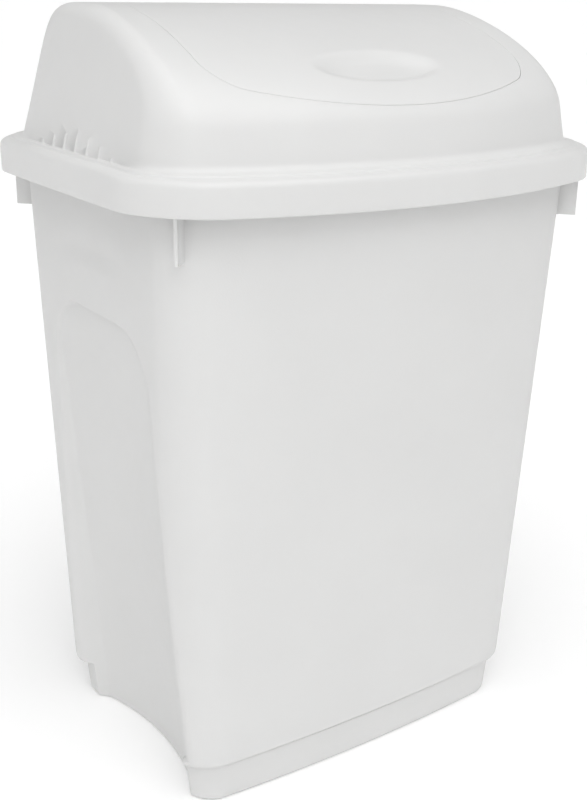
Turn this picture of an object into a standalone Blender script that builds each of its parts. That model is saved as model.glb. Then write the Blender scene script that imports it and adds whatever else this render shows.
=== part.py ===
"""Swing-top litter bin: a tapered tub, a lift-off hood and a rocking flap, in metres with +Z up.

+X runs along the wide side, -Y is the front, and the origin is on the floor under the middle of the bin.
Every plan outline is a rounded rectangle whose two wide sides bow outwards.
"""

import math
from collections import namedtuple

import bmesh
import bpy
import numpy as np
from mathutils import Matrix, Vector

Outline = namedtuple("Outline", "half_x half_y corner bow")

# Plan outlines.
FOOT_BOTTOM = Outline(0.1655, 0.1145, 0.0252, 0.0074)
FOOT_TOP = Outline(0.1686, 0.1169, 0.0268, 0.0075)
WALL_BOTTOM = Outline(0.1800, 0.1223, 0.0370, 0.0076)
WALL_TOP = Outline(0.1926, 0.1285, 0.0270, 0.0460)
RIM = Outline(0.2164, 0.1422, 0.0469, 0.0475)
DOME_FOOT = Outline(0.1984, 0.1245, 0.0305, 0.0440)

# Heights.
FOOT_HEIGHT = 0.0368
STEP_START = 0.0372
WALL_START = 0.0430
WALL_END = 0.4980
FLANGE_TOP = 0.5214
FLANGE_LIP_BOTTOM = 0.5080
SKIRT_BOTTOM = 0.4990
SKIRT_TOP = 0.5175
LEDGE_OUTER = 0.5240
DOME_START = 0.5260
RIDGE_HEIGHT = 0.6300

# Walls and gaps.
BIN_WALL = 0.0024
LID_WALL = 0.0022
FLAP_WALL = 0.0022
FLANGE_INSET = 0.0034
FLAP_GAP = 0.0016

# Hollow in each narrow side: a shallow panel under a ledge that deepens into a scoop at the floor.
HOLLOW_HALF_WIDTH = 0.077
HOLLOW_TOP = 0.400
HOLLOW_CORNER = 0.044
HOLLOW_FLOOR_CENTRE_Y = -0.0100
HOLLOW_TOP_CENTRE_Y = -0.0040
HOLLOW_FLOOR_X = 0.1445
HOLLOW_TOP_X = 0.1846
HOLLOW_FLOOR_CURVE = 2.08
HOLLOW_TOP_CURVE = 0.62
HOLLOW_FLOOR_RAMP = 0.030
HOLLOW_TOP_RAMP = 0.003

# Stacking ribs under the flange, one on each corner.
RIB_BOTTOM = 0.466
RIB_TOP = 0.5202
RIB_THICKNESS = 0.0028
RIB_TIP_X = 0.1915
RIB_TIP_Y = 0.1387
RIB_BITE = 0.0012

# Sections of the bin: the foot's lower edge as step in and height, the turn of the step over the foot, the
# levels of the body wall, and the flange as share of the way out and drop.
FOOT_EDGE = ((0.0175, 0.0030), (0.0145, 0.0), (0.0040, 0.0), (0.0012, 0.0012), (0.0, 0.0040))
STEP_ANGLES = (0, 35, 65)
WALL_LEVELS = (WALL_START, 0.100, 0.170, 0.240, 0.310, 0.358, 0.380, 0.394, 0.400, 0.4035, 0.450, WALL_END)
FLANGE_ROUTE = ((0.04, 0.0070), (0.12, 0.0022), (0.30, 0.0), (0.92, 0.0), (1.0, 0.0018))

# Dome: its end profile in Y and Z, and how its two ends lean in and are rounded.
RIDGE_Y = 0.0265
REAR_SHOULDER = (0.0985, 0.5910)
FRONT_SHOULDER = (-0.1186, 0.5550)
REAR_PULLS = (0.0456, 0.0540)
FRONT_PULLS = (0.0506, 0.0395)
END_LEAN = 0.20
TOP_EDGE_RADIUS = 0.0130

# Ledge round the dome's foot as share of the way out and lift, then the rim's edge as step in and drop.
LEDGE_INSET = 0.0055
LEDGE_ROUTE = ((0.42, 0.0006), (1.0, 0.0))
RIM_EDGE = ((0.0022, 0.0012), (0.0003, 0.0036))

# Flap and its opening in the dome.
FLAP_HALF_X = 0.1480
FLAP_FRONT_Y = -0.1520
FLAP_FRONT_RADIUS = 0.3030
FLAP_REAR_Y = 0.0420
FLAP_FRONT_CORNER = 0.0220
FLAP_REAR_CORNER = 0.0060
FLAP_EDGE_DEPTH = 0.0110
FLAP_CHEEK_DEPTH = 0.0180
CHEEK_END = 0.055
CHEEK_RAMP = 0.022
LEAN_START = 0.020
CORNER_ANGLES = (22, 42, 60, 76, 90)
LIP_TOP = 0.0012
LIP_DEPTH = 0.0060
LIP_THICKNESS = 0.0022
OPENING_BOTTOM = 0.548
DISH_CENTRE_X = -0.0045
DISH_CENTRE_Y = -0.1120
DISH_HALF_X = 0.0580
DISH_HALF_Y = 0.0200
DISH_DEPTH = 0.0060
DISH_STEEPNESS = 1.3

# Pivot of the flap.
PIVOT_Y = -0.05134
PIVOT_Z = 0.6087
PIN_RADIUS = 0.0025
PIN_HOLE_RADIUS = 0.00258
PIN_REACH = 0.0061
PIN_ROOT = 0.0013
PIN_HOLE_REACH = 0.0075
EAR_CLEARANCE = 0.0022
EAR_THICKNESS = 0.0040
EAR_RADIUS = 0.0080
EAR_BITE = 0.0012

# Grip ribs on the two ends of the dome.
GRIP_COUNT = 7
GRIP_PITCH = 0.020
GRIP_WIDTH = 0.0045
GRIP_TOP = 0.5405
GRIP_DROP = 0.0025
GRIP_ROOT = 0.0020
GRIP_ROOT_DEPTH = 0.0012
GRIP_STAND_LOW = 0.0036
GRIP_STAND_HIGH = 0.0026
GRIP_STAND_TIP = 0.0012
GRIP_SHOULDER = 0.0026

# How finely the curves are divided.
WIDE_STEPS = 14
CORNER_STEPS = 4
NARROW_SHARES = (0.0, 0.45, 0.70, 0.84, 0.91, 1.0)
DOME_REAR_STEPS = 6
DOME_FRONT_STEPS = 12
FLAP_STEPS_X = 16
FLAP_STEPS_Y = 13
ROUND_STEPS = 20

WHITE_PLASTIC = (0.80, 0.80, 0.79, 1.0)
FLAT, TURN, END = "flat", "turn", "end"


def clear_scene():
    """Remove whatever the scene holds."""
    for old in list(bpy.data.objects):
        bpy.data.objects.remove(old, do_unlink=True)


def plastic(name, roughness):
    """White moulded plastic."""
    material = bpy.data.materials.new(name)
    material.use_nodes = True
    shader = material.node_tree.nodes["Principled BSDF"]
    shader.inputs["Base Color"].default_value = WHITE_PLASTIC
    shader.inputs["Roughness"].default_value = roughness
    material.diffuse_color = WHITE_PLASTIC
    return material


def mix(first, second, share):
    """The number part of the way from one number to another."""
    return first + (second - first) * share


def smoothstep(value):
    """0 below 0, 1 above 1 and a smooth ramp between."""
    value = min(1.0, max(0.0, value))
    return value * value * (3 - 2 * value)


def mix_outline(first, second, share):
    """The outline part of the way between two others."""
    return Outline(*(mix(a, b, share) for a, b in zip(first, second)))


def inset(outline, distance):
    """The same outline moved inwards."""
    half_x, half_y, corner, bow = outline
    return Outline(half_x - distance, half_y - distance, corner - distance, bow)


def bowed(x, y, outline):
    """Y once the wide sides bow out; points near the middle hardly move."""
    swell = outline.bow * (1 - min(1.0, (x / outline.half_x) ** 2))
    return y + math.copysign(swell * (y / outline.half_y) ** 2, y)


def columns():
    """Stations from the middle of the -X end, round one wide side, to the middle of the +X end."""
    end = [(END, share) for share in NARROW_SHARES[:-1]]
    turn = [(TURN, math.pi / 2 * (1 - i / CORNER_STEPS)) for i in range(CORNER_STEPS)]
    flat = [(FLAT, 0, mix(-1, 1, i / WIDE_STEPS)) for i in range(WIDE_STEPS + 1)]
    first = [(kind, -1, amount) for kind, amount in end + turn]
    last = [(kind, 1, amount) for kind, amount in reversed(end + turn)]
    return first + flat + last


def swept(column, half_x, corner, y, rise):
    """A section's point at one station: rounded towards each end, then drawn in to the end's hub."""
    kind, side, amount = column
    length = math.hypot(y, rise)
    if kind == FLAT:
        x = (half_x - corner) * amount
        share = 1
    elif kind == TURN:
        x = side * (half_x - corner * (1 - math.sin(amount)))
        share = 1 - corner * (1 - math.cos(amount)) / length
    else:
        x = side * half_x
        share = amount * (1 - corner / length)
    return x, y * share, rise * share


def ring(outline, z):
    """The outline's points at one height, clockwise from the middle of the -X end."""
    rear = []
    for column in columns():
        x, y, _ = swept(column, outline.half_x, outline.corner, outline.half_y, 0)
        rear.append((x, bowed(x, y, outline), z))
    front = [(x, -y, z) for x, y, z in reversed(rear[1:-1])]
    return rear + front


def add_strip(mesh, upper, lower, closed=True):
    """Quads between two clockwise rings of vertices, facing out."""
    count = len(upper)
    for i in range(count if closed else count - 1):
        j = (i + 1) % count
        corners = []
        for vertex in (upper[i], upper[j], lower[j], lower[i]):
            if vertex not in corners:
                corners.append(vertex)
        mesh.faces.new(corners)


def new_object(name, mesh, material):
    """An object made from a bmesh."""
    data = bpy.data.meshes.new(name)
    mesh.to_mesh(data)
    mesh.free()
    data.materials.append(material)
    made = bpy.data.objects.new(name, data)
    bpy.context.collection.objects.link(made)
    return made


def thicken(shell, thickness):
    """Give a skin its wall, on the inside."""
    wall = shell.modifiers.new("Wall", "SOLIDIFY")
    wall.thickness = thickness
    wall.offset = -1
    wall.use_even_offset = True


def combine(target, tool, operation):
    """Join a hidden tool to an object, or cut it away."""
    tool.hide_render = True
    tool.display_type = "WIRE"
    step = target.modifiers.new(tool.name, "BOOLEAN")
    step.object = tool
    step.operation = operation
    step.solver = "EXACT"


def prism(name, outline, direction, material):
    """A straight prism: a flat polygon of 3-D points, moved along a vector."""
    mesh = bmesh.new()
    face = mesh.faces.new([mesh.verts.new(p) for p in outline])
    moved = bmesh.ops.extrude_face_region(mesh, geom=[face])
    tips = [g for g in moved["geom"] if isinstance(g, bmesh.types.BMVert)]
    bmesh.ops.translate(mesh, verts=tips, vec=direction)
    bmesh.ops.recalc_face_normals(mesh, faces=mesh.faces)
    return new_object(name, mesh, material)


# The bin.


def wall_outline(z):
    """The body wall's outline at one height."""
    return mix_outline(WALL_BOTTOM, WALL_TOP, (z - WALL_START) / (WALL_END - WALL_START))


def hollow_depth(y, z):
    """How far the hollow in a narrow side lies behind the plain wall."""
    share = z / HOLLOW_TOP
    middle = mix(HOLLOW_FLOOR_X, HOLLOW_TOP_X, share)
    curve = mix(HOLLOW_FLOOR_CURVE, HOLLOW_TOP_CURVE, share)
    along = y - mix(HOLLOW_FLOOR_CENTRE_Y, HOLLOW_TOP_CENTRE_Y, share)
    full = wall_outline(z).half_x - (middle + curve * along * along)
    beside = abs(along) - HOLLOW_HALF_WIDTH + HOLLOW_CORNER
    above = z - HOLLOW_TOP + HOLLOW_CORNER
    outside = math.hypot(max(beside, 0), max(above, 0)) + min(max(beside, above), 0) - HOLLOW_CORNER
    ramp = mix(HOLLOW_FLOOR_RAMP, HOLLOW_TOP_RAMP, share)
    return max(full, 0) * smoothstep(1 - outside / ramp)


def hollowed(point, step_in=0.0):
    """A point of the bin's outer skin, pressed in where the hollow is."""
    x, y, z = point
    depth = hollow_depth(y, z)
    if z < WALL_START:
        pressed = min(abs(x), wall_outline(z).half_x - depth - step_in)
    else:
        pressed = abs(x) - depth
    return math.copysign(pressed, x), y, z


def bin_rings():
    """The bin's outer skin as rings, from the middle of its underside to the end of its flange lip."""
    rings = []
    for step_in, z in FOOT_EDGE:
        outline = inset(mix_outline(FOOT_BOTTOM, FOOT_TOP, z / FOOT_HEIGHT), step_in)
        rings.append([hollowed(p, step_in) for p in ring(outline, z)])
    rings.append([hollowed(p) for p in ring(FOOT_TOP, FOOT_HEIGHT)])
    rounding = WALL_START - STEP_START
    for angle in STEP_ANGLES:
        turn = math.radians(angle)
        outline = inset(WALL_BOTTOM, rounding * (1 - math.sin(turn)))
        z = WALL_START - rounding * math.cos(turn)
        rings.append([hollowed(p) for p in ring(outline, z)])
    for z in WALL_LEVELS:
        rings.append([hollowed(p) for p in ring(wall_outline(z), z)])
    under = FLANGE_TOP - BIN_WALL
    lip = inset(RIM, FLANGE_INSET + BIN_WALL)
    for share, drop in FLANGE_ROUTE:
        rings.append(ring(mix_outline(WALL_TOP, lip, share), under - drop))
    rings.append(ring(lip, FLANGE_LIP_BOTTOM))
    return rings


def wall_y(x, z):
    """Y of the body wall's outer face at one X and height."""
    outline = wall_outline(z)
    over = min(outline.corner, max(0.0, x - outline.half_x + outline.corner))
    y = outline.half_y - outline.corner + math.sqrt(outline.corner ** 2 - over * over)
    return bowed(x, y, outline)


def rib_root(z):
    """Where a diagonal rib ends, just inside the wall's outer face."""
    length = 0.0
    while RIB_TIP_Y - length > wall_y(RIB_TIP_X - length, z) - RIB_BITE:
        length += 0.0001
    return RIB_TIP_X - length, RIB_TIP_Y - length


def corner_rib(name, side_x, side_y, material):
    """A thin stacking rib that stands out diagonally from one corner of the wall, under the flange."""
    half = RIB_THICKNESS / 2 * math.sqrt(0.5)
    corners = []
    for z in (RIB_BOTTOM, RIB_TOP):
        root = rib_root(z)
        ends = [root, (RIB_TIP_X, RIB_TIP_Y)]
        corners += [(x, y, z) for x, y in (ends if z == RIB_BOTTOM else reversed(ends))]
    near = [(side_x * (x + half), side_y * (y - half), z) for x, y, z in corners]
    return prism(name, near, (-2 * side_x * half, 2 * side_y * half, 0), material)


def make_bin(material):
    """The tub: foot, tapered wall with a hollow in each narrow side, and a rolled flange."""
    mesh = bmesh.new()
    rings = [[mesh.verts.new(p) for p in points] for points in bin_rings()]
    for lower, upper in zip(rings, rings[1:]):
        add_strip(mesh, upper, lower)
    mesh.faces.new(rings[0])
    tub = new_object("bin_body", mesh, material)
    thicken(tub, BIN_WALL)
    for side_x in (-1, 1):
        for side_y in (-1, 1):
            rib = corner_rib(f"rib_tool_{side_x}_{side_y}", side_x, side_y, material)
            combine(tub, rib, "UNION")
    return tub


# The dome surface, shared by the hood and the flap.


def bezier(points, steps):
    """Points along a cubic curve."""
    made = []
    for i in range(steps + 1):
        t = i / steps
        weights = ((1 - t) ** 3, 3 * (1 - t) ** 2 * t, 3 * (1 - t) * t * t, t ** 3)
        made.append(tuple(sum(w * p[k] for w, p in zip(weights, points)) for k in (0, 1)))
    return made


def pulled(shoulder, foot, distance):
    """A curve's handle that carries on the straight wall from the foot to the shoulder."""
    run = (shoulder[0] - foot[0], shoulder[1] - foot[1])
    length = math.hypot(*run)
    return shoulder[0] + run[0] / length * distance, shoulder[1] + run[1] / length * distance


def dome_profile(rear_steps, front_steps):
    """The dome's end profile in Y and Z, from the rear foot over the ridge to the front foot."""
    ridge = (RIDGE_Y, RIDGE_HEIGHT)
    rear_foot = (DOME_FOOT.half_y, DOME_START)
    front_foot = (-DOME_FOOT.half_y, DOME_START)
    rear = [
        REAR_SHOULDER,
        pulled(REAR_SHOULDER, rear_foot, REAR_PULLS[0]),
        (RIDGE_Y + REAR_PULLS[1], RIDGE_HEIGHT),
        ridge,
    ]
    front = [
        ridge,
        (RIDGE_Y - FRONT_PULLS[0], RIDGE_HEIGHT),
        pulled(FRONT_SHOULDER, front_foot, FRONT_PULLS[1]),
        FRONT_SHOULDER,
    ]
    middle_rear = tuple(mix(a, b, 0.5) for a, b in zip(rear_foot, REAR_SHOULDER))
    points = [rear_foot, middle_rear]
    points += bezier(rear, rear_steps) + bezier(front, front_steps)[1:]
    return points + [front_foot]


TOP_PROFILE = sorted(dome_profile(60, 120)[2:-1])


def dome_height(x, y):
    """Height of the dome's top at a plan point away from its rounded ends."""
    swell = DOME_FOOT.bow * (1 - (x / DOME_FOOT.half_x) ** 2) / DOME_FOOT.half_y ** 2
    plain = (math.sqrt(1 + 4 * swell * abs(y)) - 1) / (2 * swell)
    ys = [p[0] for p in TOP_PROFILE]
    zs = [p[1] for p in TOP_PROFILE]
    return float(np.interp(math.copysign(plain, y), ys, zs))


def dome_point(column, y, z):
    """A point of the dome at one station: the ends are rounded, lean in and the sides are bowed."""
    rise = z - DOME_START
    corner = mix(DOME_FOOT.corner, TOP_EDGE_RADIUS, rise / (RIDGE_HEIGHT - DOME_START))
    x, y, rise = swept(column, DOME_FOOT.half_x, corner, y, rise)
    x *= 1 - END_LEAN * rise / DOME_FOOT.half_x
    return x, bowed(x, y, DOME_FOOT), DOME_START + rise


def flap_front(x):
    """Y of the flap's curved front edge; its corners are rounded."""
    edge = FLAP_FRONT_Y + FLAP_FRONT_RADIUS - math.sqrt(FLAP_FRONT_RADIUS ** 2 - x * x)
    over = max(0.0, abs(x) - FLAP_HALF_X + FLAP_FRONT_CORNER)
    over = min(over, FLAP_FRONT_CORNER)
    return edge + FLAP_FRONT_CORNER - math.sqrt(FLAP_FRONT_CORNER ** 2 - over * over)


def flap_rear(x):
    """Y of the flap's rear edge; its corners are rounded."""
    over = max(0.0, abs(x) - FLAP_HALF_X + FLAP_REAR_CORNER)
    over = min(over, FLAP_REAR_CORNER)
    return FLAP_REAR_Y - FLAP_REAR_CORNER + math.sqrt(FLAP_REAR_CORNER ** 2 - over * over)


def flap_stations():
    """X of the flap's columns, closer together at its rounded corners."""
    inner = FLAP_HALF_X - FLAP_FRONT_CORNER
    flat = [mix(-inner, inner, i / FLAP_STEPS_X) for i in range(FLAP_STEPS_X + 1)]
    turn = [inner + FLAP_FRONT_CORNER * math.sin(math.radians(a)) for a in CORNER_ANGLES]
    return [-x for x in reversed(turn)] + flat + turn


def flap_loop(gap):
    """The flap's plan outline moved outwards by a gap, clockwise."""
    xs = flap_stations()
    loop = [(x, flap_rear(x)) for x in xs] + [(x, flap_front(x)) for x in reversed(xs)]
    count = len(loop)
    moved = []
    for i, (x, y) in enumerate(loop):
        before = loop[i - 1]
        after = loop[(i + 1) % count]
        run = (after[0] - before[0], after[1] - before[1])
        length = math.hypot(*run)
        moved.append((x - run[1] / length * gap, y + run[0] / length * gap))
    return moved


def band(name, inner_gap, thickness, top, depth, material):
    """A thin wall under the dome's surface that follows the flap's outline."""
    mesh = bmesh.new()
    inner = flap_loop(inner_gap)
    outer = flap_loop(inner_gap + thickness)
    rings = []
    for loop, drop in ((inner, top), (outer, top), (outer, depth), (inner, depth)):
        rings.append([mesh.verts.new((x, y, dome_height(*flat) - drop)) for (x, y), flat in zip(loop, inner)])
    for first, second in zip(rings, rings[1:] + rings[:1]):
        add_strip(mesh, first, second)
    bmesh.ops.recalc_face_normals(mesh, faces=mesh.faces)
    return new_object(name, mesh, material)


# The hood.


def hood_rim_rings():
    """Rings from the dome's foot out over the ledge and down the skirt."""
    rings = []
    for share, lift in LEDGE_ROUTE:
        outline = mix_outline(DOME_FOOT, inset(RIM, LEDGE_INSET), share)
        rings.append(ring(outline, LEDGE_OUTER + lift))
    for step_in, drop in RIM_EDGE:
        rings.append(ring(inset(RIM, step_in), LEDGE_OUTER - drop))
    for z in (SKIRT_TOP, SKIRT_BOTTOM):
        rings.append(ring(RIM, z))
    return rings


def disc(name, x, radius, reach, material):
    """A short round bar along X, centred on the pivot axis."""
    outline = []
    for i in range(ROUND_STEPS):
        angle = 2 * math.pi * i / ROUND_STEPS
        outline.append((x, PIVOT_Y + radius * math.cos(angle), PIVOT_Z + radius * math.sin(angle)))
    return prism(name, outline, (reach, 0, 0), material)


def pivot_ear(name, side, material):
    """A rounded lug that hangs under the hood and holds one pin of the flap."""
    x = side * (FLAP_HALF_X + EAR_CLEARANCE)
    outline = []
    for y in (PIVOT_Y - EAR_RADIUS, PIVOT_Y + EAR_RADIUS):
        outline.append((x, y, dome_height(x, y) - EAR_BITE))
    for i in range(9):
        angle = -math.pi * i / 8
        outline.append((x, PIVOT_Y + EAR_RADIUS * math.cos(angle), PIVOT_Z + EAR_RADIUS * math.sin(angle)))
    return prism(name, outline, (side * EAR_THICKNESS, 0, 0), material)


def grip_ribs(name, side, material):
    """Upright ribs on one end of the dome, just above the ledge; the middle ones are the tallest."""
    mesh = bmesh.new()
    for i in range(GRIP_COUNT):
        place = i - (GRIP_COUNT - 1) / 2
        y = place * GRIP_PITCH
        top = GRIP_TOP - GRIP_DROP * place * place / 2
        low_x = DOME_FOOT.half_x - GRIP_ROOT
        high_x = low_x - END_LEAN * (top - DOME_START)
        foot_z = DOME_START - GRIP_ROOT_DEPTH
        profile = [
            (low_x - GRIP_ROOT_DEPTH, foot_z),
            (low_x + GRIP_STAND_LOW, foot_z),
            (high_x + GRIP_STAND_HIGH, top - GRIP_SHOULDER),
            (high_x + GRIP_STAND_TIP, top),
            (high_x - GRIP_ROOT_DEPTH, top),
        ]
        sides = []
        for over in (-0.5, 0.5):
            sides.append([mesh.verts.new((side * x, y + over * GRIP_WIDTH, z)) for x, z in profile])
        mesh.faces.new(sides[0])
        mesh.faces.new(sides[1])
        for j in range(len(profile)):
            k = (j + 1) % len(profile)
            mesh.faces.new((sides[0][j], sides[0][k], sides[1][k], sides[1][j]))
    bmesh.ops.recalc_face_normals(mesh, faces=mesh.faces)
    return new_object(name, mesh, material)


def make_hood(material):
    """The lift-off hood: skirt, ledge and dome, with the flap's opening and its two pivot ears."""
    mesh = bmesh.new()
    stations = columns()
    hubs = [mesh.verts.new(dome_point(stations[i], DOME_FOOT.half_y, DOME_START)) for i in (0, -1)]
    rows = []
    for y, z in dome_profile(DOME_REAR_STEPS, DOME_FRONT_STEPS):
        inner = [mesh.verts.new(dome_point(column, y, z)) for column in stations[1:-1]]
        rows.append([hubs[0]] + inner + [hubs[1]])
    for lower, upper in zip(rows, rows[1:]):
        add_strip(mesh, upper, lower, closed=False)
    above = rows[0] + rows[-1][-2:0:-1]
    for points in hood_rim_rings():
        below = [mesh.verts.new(p) for p in points]
        add_strip(mesh, above, below)
        above = below
    hood = new_object("lid_hood", mesh, material)
    thicken(hood, LID_WALL)
    opening = [(x, y, OPENING_BOTTOM) for x, y in flap_loop(FLAP_GAP)]
    combine(hood, prism("opening_tool", opening, (0, 0, 0.1), material), "DIFFERENCE")
    lip = band("lip_tool", FLAP_GAP, LIP_THICKNESS, LIP_TOP, LIP_DEPTH, material)
    combine(hood, lip, "UNION")
    for side in (-1, 1):
        combine(hood, pivot_ear(f"ear_tool_{side}", side, material), "UNION")
        combine(hood, grip_ribs(f"grip_tool_{side}", side, material), "UNION")
    for side in (-1, 1):
        start = side * FLAP_HALF_X
        hole = disc(f"pin_hole_tool_{side}", start, PIN_HOLE_RADIUS, side * PIN_HOLE_REACH, material)
        combine(hood, hole, "DIFFERENCE")
    return hood


# The flap.


def dish_depth(x, y):
    """Depth of the push dish in the flap."""
    away = ((x - DISH_CENTRE_X) / DISH_HALF_X) ** 2 + ((y - DISH_CENTRE_Y) / DISH_HALF_Y) ** 2
    return DISH_DEPTH * smoothstep(DISH_STEEPNESS * (1 - away)) if away < 1 else 0.0


def edge_depth(x, y):
    """How far the flap's rim turns down; the cheeks are deepest beside the pins."""
    at_side = abs(x) > FLAP_HALF_X - FLAP_WALL
    cheek = smoothstep((CHEEK_END - abs(y - PIVOT_Y)) / CHEEK_RAMP) if at_side else 0.0
    return mix(FLAP_EDGE_DEPTH, FLAP_CHEEK_DEPTH, cheek)


def leaned(x, y, z, drop):
    """A point of the flap's rim: its front leans in, so that it stays inside the arc the top edge swings on."""
    reach = math.hypot(y - PIVOT_Y, z - PIVOT_Z)
    low = z - drop
    share = smoothstep((PIVOT_Y - LEAN_START - y) / LEAN_START)
    room = reach * reach - (low - PIVOT_Z) ** 2
    if share > 0 and room > 0:
        y = mix(y, max(y, PIVOT_Y - math.sqrt(room)), share)
    return x, y, low


def make_flap(material):
    """The rocking flap: a panel of the dome with a push dish, a turned-down rim and two pins."""
    mesh = bmesh.new()
    xs = flap_stations()
    rows = []
    for i in range(FLAP_STEPS_Y + 1):
        row = []
        for x in xs:
            y = mix(flap_rear(x), flap_front(x), i / FLAP_STEPS_Y)
            row.append(mesh.verts.new((x, y, dome_height(x, y) - dish_depth(x, y))))
        rows.append(row)
    for lower, upper in zip(rows, rows[1:]):
        add_strip(mesh, upper, lower, closed=False)
    right = [row[-1] for row in rows[1:-1]]
    left = [row[0] for row in reversed(rows[1:-1])]
    edge = rows[0] + right + rows[-1][::-1] + left
    rim = [mesh.verts.new(leaned(v.co.x, v.co.y, v.co.z, edge_depth(v.co.x, v.co.y))) for v in edge]
    add_strip(mesh, edge, rim)
    flap = new_object("swing_flap", mesh, material)
    thicken(flap, FLAP_WALL)
    for side in (-1, 1):
        start = side * (FLAP_HALF_X - PIN_ROOT)
        reach = side * (PIN_ROOT + PIN_REACH)
        combine(flap, disc(f"pin_tool_{side}", start, PIN_RADIUS, reach, material), "UNION")
    return flap


def set_origin(piece, place):
    """Move an object's origin without moving its shape."""
    piece.data.transform(Matrix.Translation(-Vector(place)))
    piece.location = place


def main():
    """Build the three pieces."""
    clear_scene()
    make_bin(plastic("bin_white", 0.45))
    make_hood(plastic("hood_white", 0.38))
    flap = make_flap(plastic("flap_white", 0.38))
    set_origin(flap, (0, PIVOT_Y, PIVOT_Z))


main()
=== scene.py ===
"""Fine visual meshes, plastics, floor, light and camera for a white swing-top litter bin.

Metres, +Z up, +X along the wide side, -Y the front. Every plan outline is a rounded rectangle whose two
wide sides bow outwards.
"""

import math
from collections import namedtuple

import bpy
import numpy as np
from mathutils import Matrix, Vector


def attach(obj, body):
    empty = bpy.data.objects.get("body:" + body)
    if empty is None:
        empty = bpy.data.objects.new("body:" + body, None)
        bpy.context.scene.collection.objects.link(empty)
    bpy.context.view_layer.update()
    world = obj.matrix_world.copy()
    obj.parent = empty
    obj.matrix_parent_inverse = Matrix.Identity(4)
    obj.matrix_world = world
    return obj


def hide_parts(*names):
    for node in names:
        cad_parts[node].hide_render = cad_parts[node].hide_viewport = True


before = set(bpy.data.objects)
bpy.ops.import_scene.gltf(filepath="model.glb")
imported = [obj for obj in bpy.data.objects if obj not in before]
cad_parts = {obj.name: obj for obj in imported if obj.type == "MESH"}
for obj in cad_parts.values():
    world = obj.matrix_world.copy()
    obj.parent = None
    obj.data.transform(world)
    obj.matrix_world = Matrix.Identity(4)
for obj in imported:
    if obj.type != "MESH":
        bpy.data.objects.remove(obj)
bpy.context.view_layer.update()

Outline = namedtuple("Outline", "half_x half_y corner bow")

# Plan outlines.
FOOT_BOTTOM = Outline(0.1655, 0.1145, 0.0252, 0.0074)
FOOT_TOP = Outline(0.1686, 0.1169, 0.0268, 0.0075)
WALL_BOTTOM = Outline(0.1800, 0.1223, 0.0370, 0.0076)
WALL_TOP = Outline(0.1926, 0.1285, 0.0270, 0.0460)
RIM = Outline(0.2164, 0.1422, 0.0469, 0.0475)
DOME_FOOT = Outline(0.1984, 0.1245, 0.0305, 0.0440)

# Heights.
FOOT_HEIGHT = 0.0368
STEP_START = 0.0372
WALL_START = 0.0430
WALL_END = 0.4980
SKIRT_BOTTOM = 0.4990
FLANGE_LIP_BOTTOM = 0.5080
FLANGE_TOP = 0.5214
DOME_START = 0.5260
RIDGE_HEIGHT = 0.6300

# Walls.
BIN_WALL = 0.0024
LID_WALL = 0.0022
FLAP_WALL = 0.0022
FLANGE_INSET = 0.0034

# Hollow in each narrow side.
HOLLOW_HALF_WIDTH = 0.077
HOLLOW_TOP = 0.400
HOLLOW_CORNER = 0.044
HOLLOW_FLOOR_CENTRE_Y = -0.0100
HOLLOW_TOP_CENTRE_Y = -0.0040
HOLLOW_FLOOR_X = 0.1445
HOLLOW_TOP_X = 0.1846
HOLLOW_FLOOR_CURVE = 2.08
HOLLOW_TOP_CURVE = 0.62
HOLLOW_FLOOR_RAMP = 0.030
HOLLOW_TOP_RAMP = 0.003
HOLLOW_EDGE_SHARE = 0.8

# Stacking ribs under the flange.
RIB_BOTTOM = 0.466
RIB_TOP = 0.5196
RIB_THICKNESS = 0.0028
RIB_TIP_X = 0.1915
RIB_TIP_Y = 0.1387
RIB_BITE = 0.0012
RIB_ROUNDING = 0.0005

# Dome.
RIDGE_Y = 0.0265
REAR_SHOULDER = (0.0985, 0.5910)
FRONT_SHOULDER = (-0.1186, 0.5550)
REAR_PULLS = (0.0456, 0.0540)
FRONT_PULLS = (0.0506, 0.0395)
END_LEAN = 0.20
TOP_EDGE_RADIUS = 0.0130
FRONT_CORNER_RISE = 0.095
FOOT_FILLET = 0.0045
FILLET_FADE_Y = 0.075
FILLET_FADE_RAMP = 0.035

# Flap and its opening.
FLAP_HALF_X = 0.1480
FLAP_FRONT_Y = -0.1520
FLAP_FRONT_RADIUS = 0.3030
FLAP_REAR_Y = 0.0420
FLAP_FRONT_CORNER = 0.0220
FLAP_REAR_CORNER = 0.0060
FLAP_EDGE_DEPTH = 0.0110
FLAP_CHEEK_DEPTH = 0.0180
CHEEK_END = 0.055
CHEEK_RAMP = 0.022
CHEEK_BAND = 0.004
LEAN_START = 0.020
LEAN_RAMP = 0.020
HALF_GAP = 0.00012
EDGE_FILLET = 0.00025
REAR_EASE = 0.0014
REAR_EASE_RAMP = 0.020
LIP_DEPTH = 0.0050
LIP_BACK_DROP = 0.0030
LOWER_CHAMFER = 0.0006
GRID_EDGE = 0.0032
DISH_CENTRE_X = -0.0045
DISH_CENTRE_Y = -0.1120
DISH_HALF_X = 0.0600
DISH_HALF_Y = 0.0200
DISH_DEPTH = 0.0060
DISH_STEEPNESS = 1.3

# Pivot.
PIVOT_Y = -0.05134
PIVOT_Z = 0.6087
PIN_RADIUS = 0.0025
PIN_HOLE_RADIUS = 0.00258
PIN_REACH = 0.0061
PIN_ROOT = 0.0013
PIN_HOLE_REACH = 0.0075
EAR_CLEARANCE = 0.0022
EAR_THICKNESS = 0.0040
EAR_RADIUS = 0.0080
EAR_BITE = 0.0012
ROUND_STEPS = 32

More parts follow.
